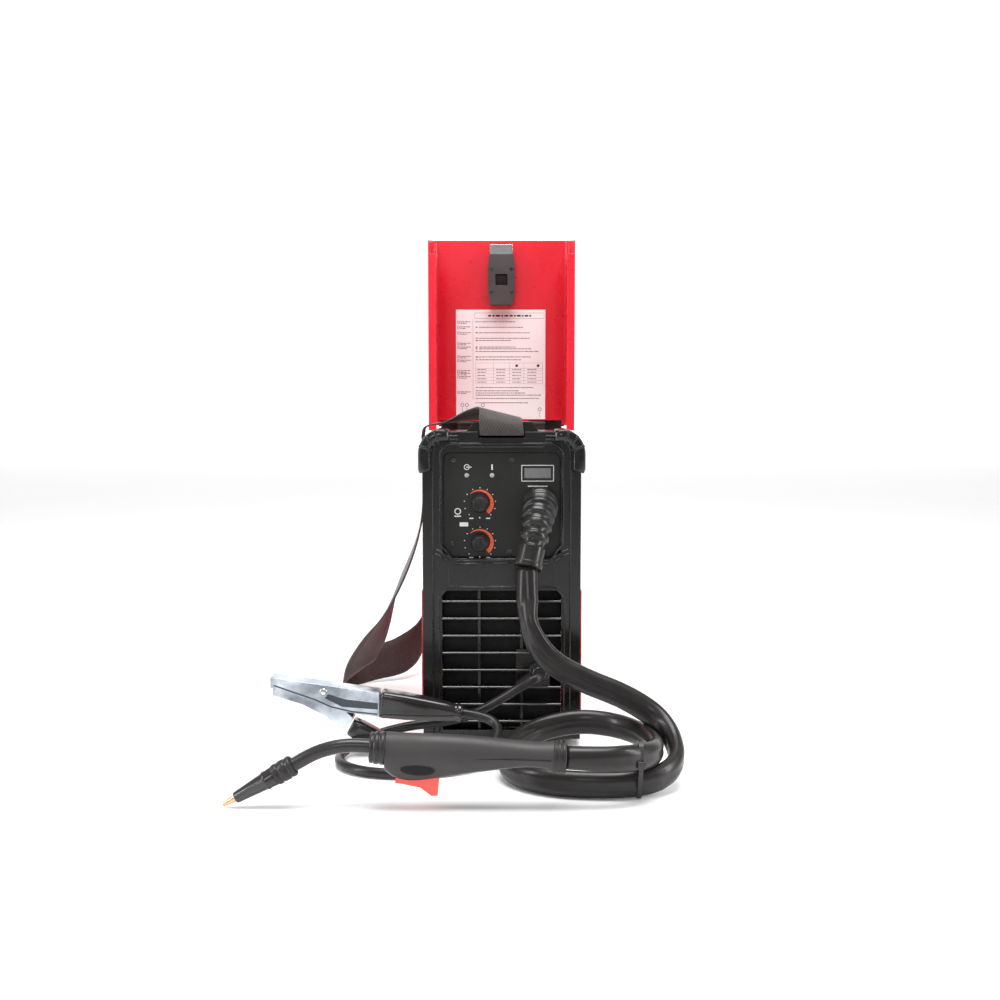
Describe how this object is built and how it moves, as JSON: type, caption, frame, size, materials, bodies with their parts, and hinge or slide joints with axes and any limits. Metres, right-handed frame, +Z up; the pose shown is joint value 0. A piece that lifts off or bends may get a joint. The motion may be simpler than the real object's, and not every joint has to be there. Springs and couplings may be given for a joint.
{
  "type": "mig welding machine",
  "caption": "Portable wire-feed welder: louvred case with lift-up hood, wire drive and spool inside, gun on a looped lead, earth clamp and carrying strap.",
  "frame": {"origin": "on the floor under the middle of the case, midway between its four feet", "axes": "+Z up, front panel towards -Y, +X to the right seen from the front"},
  "size_m": [0.4546, 0.7057, 0.593],
  "materials": {
    "red_paint": "gloss",
    "black_plastic": "satin moulded",
    "dark_panel": "satin sheet",
    "knob_plastic": "fine",
    "lamp_plastic": "smoked",
    "black_rubber": "matt",
    "steel": "plain",
    "zinc": "zinc plated",
    "chrome": "bright",
    "brass": "machined",
    "copper": "machined",
    "aluminium": "extruded",
    "copper_winding": "enamelled",
    "core_steel": "varnished laminations",
    "circuit_board": "coated",
    "paper": "printed paper",
    "webbing": "woven",
    "trigger_plastic": "satin",
    "gun_plastic": "matt",
    "vinyl": "glossy dip",
    "nylon": "moulded"
  },
  "bodies": {
    "case": {"base_chassis": "red_paint", "cable_tie": "nylon", "centre_partition": "steel", "clamp_rivet": "zinc", "clamp_spring": "steel", "clamp_upper_lever": "zinc", "clamp_upper_sleeve": "vinyl", "contact_tip": "copper", "control_board": "circuit_board", "control_panel": "dark_panel", "drive_frame": "aluminium", "earth_cable": "black_rubber", "earth_gland": "black_plastic", "fan_frame": "black_plastic", "feed_motor": "steel", "front_bezel": "black_plastic", "gun_cable": "black_rubber", "gun_front_collar": "gun_plastic", "gun_handle_left": "gun_plastic", "gun_handle_right": "gun_plastic", "gun_neck": "black_rubber", "gun_nozzle": "vinyl", "gun_rear_collar": "gun_plastic", "gun_receiver": "brass", "gun_strain_relief": "black_rubber", "hinge_leaf": "steel", "hinge_pin": "steel", "indicator_lamps": "lamp_plastic", "nose_wrap": "red_paint", "nozzle_ring": "gun_plastic", "output_choke": "core_steel", "potentiometers": "aluminium", "power_cord_gland": "black_plastic", "power_switch": "black_plastic", "rear_bezel": "black_plastic", "rectifier_heatsink": "aluminium", "rubber_feet": "black_rubber", "screws": "steel", "shoulder_strap": "webbing", "spool_hub": "black_plastic", "spool_nut": "nylon", "transformer_core": "core_steel", "transformer_winding": "copper_winding"},
    "hood": {"hood": "red_paint", "latch_body": "black_plastic", "setup_label": "paper"},
    "latch": {"latch_bolt": "chrome"},
    "voltage_dial": {"voltage_knob": "knob_plastic"},
    "wire_speed_dial": {"wire_speed_knob": "knob_plastic"},
    "trigger": {"gun_trigger": "trigger_plastic"},
    "clamp_jaw": {"clamp_lower_lever": "zinc", "clamp_lower_sleeve": "vinyl"},
    "spool": {"wire_spool": "nylon", "welding_wire": "steel"},
    "driver": {"drive_roll": "steel"},
    "feed_arm": {"pressure_arm": "aluminium"},
    "idler": {"idle_roll": "steel"},
    "tensioner": {"tension_knob": "knob_plastic"},
    "fan": {"fan_rotor": "black_plastic"},
    "rocker": {"power_rocker": "knob_plastic"}
  },
  "joints": [
    {"name": "hood_hinge", "type": "hinge", "parent": "case", "child": "hood", "pos_m": [0, 0.182, 0.3455], "axis": [1, 0, 0], "range_deg": [0, 90]},
    {"name": "latch_slide", "type": "slide", "parent": "hood", "child": "latch", "axis": [0, 0, 1], "range_m": [0, 0.008]},
    {"name": "voltage_turn", "type": "hinge", "parent": "case", "child": "voltage_dial", "pos_m": [-0.024, -0.2035, 0.271], "axis": [0, -1, 0], "range_deg": [-140, 140]},
    {"name": "wire_speed_turn", "type": "hinge", "parent": "case", "child": "wire_speed_dial", "pos_m": [-0.024, -0.2035, 0.2274], "axis": [0, -1, 0], "range_deg": [-140, 140]},
    {"name": "trigger_squeeze", "type": "hinge", "parent": "case", "child": "trigger", "pos_m": [-0.09752, -0.429, 0.045], "axis": [0, -1, 0], "range_deg": [0, 4], "stiffness_Nm_per_rad": 2, "springref_deg": -5.73},
    {"name": "clamp_open", "type": "hinge", "parent": "case", "child": "clamp_jaw", "pos_m": [-0.192, -0.245, 0.072], "axis": [0, -1, 0], "range_deg": [0, 10], "stiffness_Nm_per_rad": 6, "springref_deg": -17.19},
    {"name": "spool_turn", "type": "hinge", "parent": "case", "child": "spool", "pos_m": [0.038, 0.07, 0.235], "axis": [1, 0, 0], "continuous": true},
    {"name": "drive_turn", "type": "hinge", "parent": "case", "child": "driver", "pos_m": [0.042, -0.095, 0.25455], "axis": [1, 0, 0], "continuous": true},
    {"name": "arm_lift", "type": "hinge", "parent": "case", "child": "feed_arm", "pos_m": [0.05, -0.075, 0.288], "axis": [-1, 0, 0], "range_deg": [0, 5], "stiffness_Nm_per_rad": 3, "springref_deg": -2.86},
    {"name": "idle_turn", "type": "hinge", "parent": "feed_arm", "child": "idler", "pos_m": [0.042, -0.095, 0.28145], "axis": [1, 0, 0], "continuous": true},
    {"name": "tension_turn", "type": "hinge", "parent": "case", "child": "tensioner", "pos_m": [0.051, -0.128, 0.3], "axis": [0, 0, 1], "range_deg": [-180, 180]},
    {"name": "fan_turn", "type": "hinge", "parent": "case", "child": "fan", "pos_m": [0, 0.1705, 0.062], "axis": [0, 1, 0], "continuous": true},
    {"name": "rocker_tilt", "type": "hinge", "parent": "case", "child": "rocker", "pos_m": [-0.05, 0.208, 0.251], "axis": [1, 0, 0], "range_deg": [0, 16]}
  ],
  "couplings": [
    {"joint": "idle_turn", "follows": "drive_turn", "ratio": -1.3636}
  ]
}
